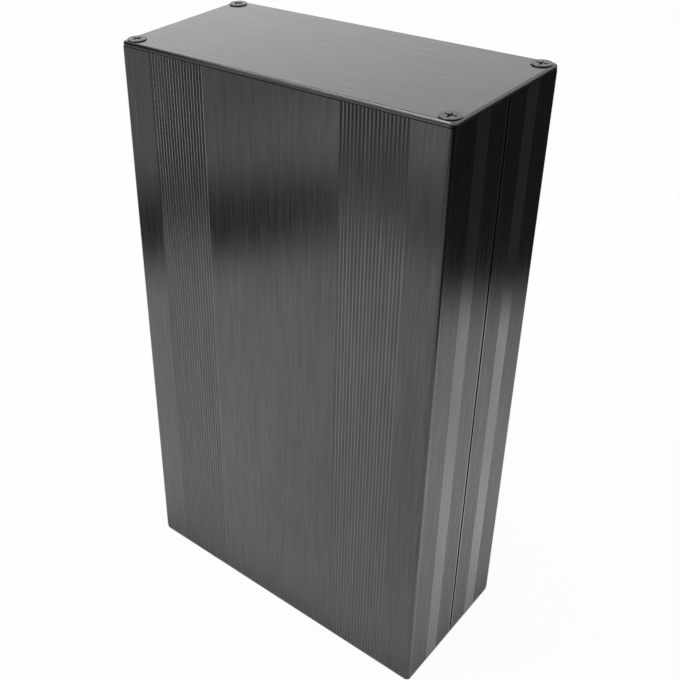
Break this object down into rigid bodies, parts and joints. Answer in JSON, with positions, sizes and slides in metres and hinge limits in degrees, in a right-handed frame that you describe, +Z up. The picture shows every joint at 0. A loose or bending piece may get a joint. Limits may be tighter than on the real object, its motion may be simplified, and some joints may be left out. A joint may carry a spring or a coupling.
{
  "type": "extruded aluminium enclosure",
  "caption": "Tall split-type box of black anodised aluminium extrusion with bands of fine flutes on its wide and side faces, inner board slots and flat end plates held by countersunk screws.",
  "frame": {"origin": "middle of the footprint, on the ground under the lower screw heads", "axes": "+Z up along the extrusion, X across the wide faces, the front wide face to -Y"},
  "size_m": [0.145, 0.068, 0.2549],
  "materials": {
    "shell": "black anodised, brushed along the extrusion",
    "end_plate": "black anodised, brushed across the width",
    "screw": "black zinc plated steel"
  },
  "bodies": {
    "root": {"front_shell": "shell", "rear_shell": "shell", "bottom_end_plate": "end_plate", "top_end_plate": "end_plate", "bottom_plate_screws": "screw", "top_plate_screws": "screw"}
  },
  "joints": []
}
